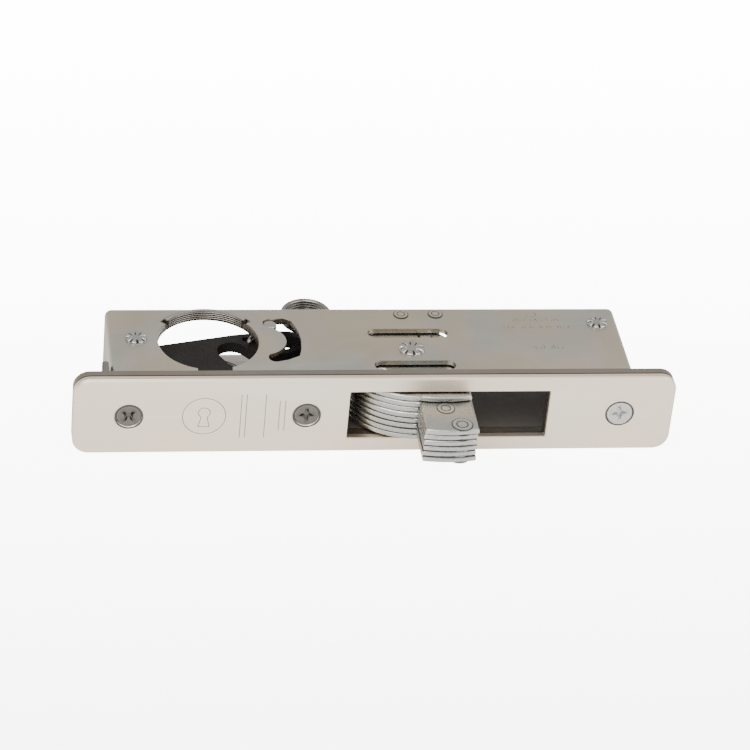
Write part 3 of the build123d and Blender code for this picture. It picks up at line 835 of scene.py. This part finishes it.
def spring_wire():
    """The torsion spring's real coil, with one hooked leg on the arm and one on the stud."""
    sizes = bpy.context.scene.lock_sizes
    low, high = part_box("torsion_spring")
    mean = COIL_R - WIRE_R
    centre = Vector((high.x - COIL_R, high.y - COIL_R, 0))
    bottom = low.z + WIRE_R
    top = high.z - WIRE_R
    hook = Vector((low.x + WIRE_R, low.y + WIRE_R, bottom))
    away = hook - Vector((centre.x, centre.y, bottom))
    leave = math.atan2(away.y, away.x) - math.acos(mean / away.length)
    turns = 2 * math.pi * sizes.spring_turns + (leave % (2 * math.pi))
    arm_hole = hook + Vector((0, 0, -2.6 * MM))
    neck = hook + Vector((0, 0, -1.0 * MM))
    bend = hook + Vector((0.25 * MM, 0.1 * MM, -0.3 * MM))
    path = [arm_hole, neck, bend]
    start = Vector((centre.x + mean * math.cos(leave), centre.y + mean * math.sin(leave), bottom))
    path += [hook.lerp(start, share) for share in (0.08, 0.5, 0.97)]
    steps = 44 * sizes.spring_turns
    for step in range(steps + 1):
        share = step / steps
        angle = leave - turns * share
        height = bottom + (top - bottom) * share
        path.append(Vector((
            centre.x + mean * math.cos(angle), centre.y + mean * math.sin(angle), height
        )))
    foot = middle("spring_anchor_stud")
    path.append(Vector((centre.x + mean, foot.y - 1.6 * MM, top)))
    bm = bmesh.new()
    tube(bm, path, WIRE_R, sides=18)
    made = piece("spring_wire", "lock_body", spring_steel(), bm, sharp=60)
    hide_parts("torsion_spring")
    return made


def stamped_dashes():
    """Shallow slanting strokes and a ring stamped in the case's upper wall near its far end."""
    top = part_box("case_shell")[1].z + MARK_LIFT
    right = middle("right_post")
    bm = bmesh.new()

    def stroke(x, y, dx, dy):
        """One struck line: a ribbon of painted shadow, with a ribbon of painted highlight beside it
        for its raised bright edge.
        """
        for shift, index in ((0, 0), (0.22 * MM, 1)):
            corners = ((0, 0), (0.24 * MM, 0), (0.24 * MM + dx, dy), (dx, dy))
            face = bm.faces.new([bm.verts.new((x + shift + a, y + b, top)) for a, b in corners])
            face.material_index = index

    rows = ((-26.5, 1.2, 15, 1.45), (-29.5, -2.6, 20, 1.5), (-20.5, -13.5, 9, 2.1))
    for start, back, count, tall in rows:
        for index in range(count):
            if (7 * index + count) % 5 == 0:
                continue
            slant = 0.55 * math.sin(2.3 * index + start) * MM
            rise = (0.75 + 0.25 * math.sin(4.1 * index)) * tall * MM
            stroke(right.x + (start + 1.05 * index) * MM, right.y + back * MM, slant, rise)
    for step in range(12):
        angle = math.radians(30 * step)
        x = right.x + (-19.5 + 1.5 * math.cos(angle)) * MM
        y = right.y + (4.4 + 1.1 * math.sin(angle)) * MM
        stroke(x, y, 0.5 * math.sin(angle) * MM, 0.5 * math.cos(angle) * MM + 0.2 * MM)
    made = piece("stamped_dashes", "lock_body", dash_shadow(), bm)
    # The rivet zinc gives the second ribbon of each stroke its painted highlight.
    made.data.materials.append(rivet_zinc())
    return made


def dash_shadow():
    """The stamped dashes' floor."""
    return kept("dash_shadow", lambda: metal(
        "dash_shadow", tuple(part * 0.72 for part in finishes().plating), (0.4, 0.55),
        ((1, 1, 1), 1300.0), 0.01 * MM, (200.0, 0.1), edge=0.0,
    ))


# --- operators ---------------------------------------------------------------------------------


class LOCK_OT_faceplate(bpy.types.Operator):
    """Trim plate with its engraved mark, and the mounting plate behind it"""

    bl_idname = "lock.faceplate"
    bl_label = "Faceplate"

    def execute(self, context):
        edge = context.scene.lock_sizes.plate_edge
        softened("trim_faceplate", satin_plate(), edge)
        plate = softened("mounting_plate", plate_steel(), edge * 1.6, clamp=False)
        plate.data.materials.append(painted_inside_shade())
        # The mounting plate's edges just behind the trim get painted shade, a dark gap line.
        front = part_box("trim_faceplate")[1].y
        for face in plate.data.polygons:
            if face.center.y < front + 0.35 * MM and abs(face.normal.y) < 0.97:
                face.material_index = 1
        engraved_mark()
        return {"FINISHED"}


class LOCK_OT_case(bpy.types.Operator):
    """Folded case and its cover"""

    bl_idname = "lock.case"
    bl_label = "Case"

    def execute(self, context):
        edge = context.scene.lock_sizes.plate_edge
        for name in ("case_shell", "case_cover"):
            darken_inside(softened(name, case_plating(), edge * 0.8))
        stamped_dashes()
        return {"FINISHED"}


class LOCK_OT_posts(bpy.types.Operator):
    """Posts between the walls, with star-staked heads on both sides"""

    bl_idname = "lock.posts"
    bl_label = "Posts"

    def execute(self, context):
        finish_cad(("stop_posts",), case_plating())
        stop_rings()
        for node_name in ("left_post", "bolt_pivot_post", "right_post"):
            low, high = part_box(node_name)
            star_post(node_name, (high.x - low.x) / 2)
        return {"FINISHED"}


class LOCK_OT_bolt(bpy.types.Operator):
    """Eight laminations, each a little out of line, with their rivets and bush"""

    bl_idname = "lock.bolt"
    bl_label = "Bolt"

    def execute(self, context):
        for index, name in enumerate(PLIES):
            lamination(name, index, bolt_zinc())
        finish_cad(("bolt_rivet_inner", "bolt_rivet_outer", "hub_rivets"), bolt_zinc())
        for name in ("bolt_rivet_inner", "bolt_rivet_outer"):
            rivet_rings(name)
        finish_cad(("bolt_bushing",), plate_steel())
        return {"FINISHED"}


class LOCK_OT_drive(bpy.types.Operator):
    """Black drive arm, its bush and pin, and the guide pin"""

    bl_idname = "lock.drive"
    bl_label = "Drive"

    def execute(self, context):
        edge = context.scene.lock_sizes.plate_edge
        softened("drive_arm", black_oxide(), edge * 1.2)
        softened("guide_pin", rivet_zinc(), edge * 0.5)
        finish_cad(("drive_pin", "arm_bushing", "spring_anchor_stud"), plate_steel())
        return {"FINISHED"}


class LOCK_OT_clamp(bpy.types.Operator):
    """Clamp strap with thread crests inside both of its arcs"""

    bl_idname = "lock.clamp"
    bl_label = "Clamp"

    def execute(self, context):
        softened("clamp_yoke", strap_plating(), context.scene.lock_sizes.plate_edge)
        thread_ridges("thread_crests_upper", 1)
        thread_ridges("thread_crests_lower", -1)
        return {"FINISHED"}


class LOCK_OT_screws(bpy.types.Operator):
    """Three countersunk cross-recessed screws in the faceplate"""

    bl_idname = "lock.screws"
    bl_label = "Screws"

    def execute(self, context):
        cross_screw("trim_screw_left", screw_oxide())
        cross_screw("clamp_screw", screw_oxide())
        cross_screw("trim_screw_right", screw_zinc())
        return {"FINISHED"}


class LOCK_OT_spring(bpy.types.Operator):
    """Torsion spring behind the case"""

    bl_idname = "lock.spring"
    bl_label = "Spring"

    def execute(self, context):
        spring_wire()
        return {"FINISHED"}


class LOCK_OT_stage(bpy.types.Operator):
    """Pale floor, white surround, soft lights and the camera"""

    bl_idname = "lock.stage"
    bl_label = "Stage"

    def execute(self, context):
        stage = context.scene.lock_stage
        context.scene.camera = add_camera(stage)
        add_floor(stage)
        add_sky(stage.sky)
        soft_light("key", (-0.35, -0.45, 0.75), (0.9, 0.6), stage.key)
        soft_light("fill", (0.55, -0.35, 0.45), (0.6, 0.6), stage.key * 0.35)
        return {"FINISHED"}


def add_camera(stage):
    """The camera, aimed by its turn, tilt and roll."""
    data = bpy.data.cameras.new("camera")
    data.lens = stage.lens
    data.sensor_width = 36.0
    data.clip_start = 0.05
    camera = bpy.data.objects.new("camera", data)
    bpy.context.scene.collection.objects.link(camera)
    aim = (
        Matrix.Rotation(-stage.turn, 4, "Z")
        @ Matrix.Rotation(math.pi / 2 - stage.tilt, 4, "X")
        @ Matrix.Rotation(stage.roll, 4, "Z")
    )
    camera.matrix_world = Matrix.Translation(stage.camera_at) @ aim
    return camera


def add_floor(stage):
    """A pale floor under the lock's lowest edge."""
    bm = bmesh.new()
    bmesh.ops.create_grid(bm, x_segments=2, y_segments=2, size=6.0)
    mesh = bpy.data.meshes.new("floor")
    bm.to_mesh(mesh)
    bm.free()
    floor = bpy.data.objects.new("floor", mesh)
    floor.location.z = CAD_BOX[0][2] - FLOOR_GAP
    bpy.context.scene.collection.objects.link(floor)
    paper = bpy.data.materials.new("pale_floor")
    paper.use_nodes = True
    tree = paper.node_tree
    shader = tree.nodes["Principled BSDF"]
    shader.inputs["Roughness"].default_value = 0.95
    place = node(tree, "ShaderNodeTexCoord")
    noise = node(tree, "ShaderNodeTexNoise", {"Scale": 3.0, "Detail": 2.0})
    tone = node(tree, "ShaderNodeValToRGB")
    tone.color_ramp.elements[0].color = (0.86, 0.855, 0.85, 1)
    tone.color_ramp.elements[1].color = (0.88, 0.875, 0.87, 1)
    tree.links.new(place.outputs["Object"], noise.inputs["Vector"])
    tree.links.new(noise.outputs["Fac"], tone.inputs["Fac"])
    tree.links.new(tone.outputs["Color"], shader.inputs["Base Color"])
    seen = node(tree, "ShaderNodeLightPath")
    depth = node(tree, "ShaderNodeSeparateXYZ")
    near = node(tree, "ShaderNodeMapRange", {"From Min": -0.05, "From Max": 0.06})
    near.inputs["To Min"].default_value = stage.bounce
    near.inputs["To Max"].default_value = 0.0
    far = node(tree, "ShaderNodeMapRange", {"From Min": -0.12, "From Max": 0.25})
    far.inputs["To Min"].default_value = stage.glow
    far.inputs["To Max"].default_value = stage.far_glow
    glow = node(tree, "ShaderNodeMix", data_type="FLOAT")
    tree.links.new(place.outputs["Object"], depth.inputs[0])
    tree.links.new(depth.outputs["Y"], near.inputs["Value"])
    tree.links.new(depth.outputs["Y"], far.inputs["Value"])
    tree.links.new(near.outputs["Result"], glow.inputs["A"])
    tree.links.new(far.outputs["Result"], glow.inputs["B"])
    shader.inputs["Emission Color"].default_value = (1.0, 0.998, 0.994, 1)
    tree.links.new(seen.outputs["Is Camera Ray"], glow.inputs["Factor"])
    tree.links.new(glow.outputs["Result"], shader.inputs["Emission Strength"])
    mesh.materials.append(paper)


def add_sky(strength):
    """An even white surround."""
    world = bpy.data.worlds.new("white_surround")
    world.use_nodes = True
    back = world.node_tree.nodes["Background"]
    back.inputs["Color"].default_value = (1, 1, 1, 1)
    back.inputs["Strength"].default_value = strength
    bpy.context.scene.world = world


def soft_light(name, place, size, power):
    """A large area light aimed at the lock's middle."""
    data = bpy.data.lights.new(name, "AREA")
    data.shape = "RECTANGLE"
    data.size, data.size_y = size
    data.energy = power
    lamp = bpy.data.objects.new(name, data)
    lamp.location = place
    aim = Vector((0, 0.01, 0)) - Vector(place)
    lamp.rotation_euler = aim.to_track_quat("-Z", "Y").to_euler()
    bpy.context.scene.collection.objects.link(lamp)


class LOCK_PT_panel(bpy.types.Panel):
    """Lists the pieces and their values in the sidebar"""

    bl_idname = "LOCK_PT_panel"
    bl_label = "Mortise lock"
    bl_space_type = "VIEW_3D"
    bl_region_type = "UI"
    bl_category = "Lock"

    def draw(self, context):
        for group in (context.scene.lock_finishes, context.scene.lock_sizes,
                      context.scene.lock_stage):
            box = self.layout.box()
            for name in group.__annotations__:
                box.prop(group, name)
        for operator in OPERATORS:
            self.layout.operator(operator.bl_idname)


OPERATORS = (
    LOCK_OT_stage, LOCK_OT_faceplate, LOCK_OT_case, LOCK_OT_posts, LOCK_OT_bolt, LOCK_OT_drive,
    LOCK_OT_clamp, LOCK_OT_screws, LOCK_OT_spring,
)
CLASSES = (LockFinishes, LockSizes, LockStage, *OPERATORS, LOCK_PT_panel)


def register():
    for cls in CLASSES:
        bpy.utils.register_class(cls)
    bpy.types.Scene.lock_finishes = PointerProperty(type=LockFinishes)
    bpy.types.Scene.lock_sizes = PointerProperty(type=LockSizes)
    bpy.types.Scene.lock_stage = PointerProperty(type=LockStage)


def unregister():
    del bpy.types.Scene.lock_stage
    del bpy.types.Scene.lock_sizes
    del bpy.types.Scene.lock_finishes
    for cls in reversed(CLASSES):
        bpy.utils.unregister_class(cls)


def main():
    """Build every piece in order."""
    register()
    for operator in OPERATORS:
        family, name = operator.bl_idname.split(".")
        getattr(getattr(bpy.ops, family), name)()


if __name__ == "__main__":
    main()
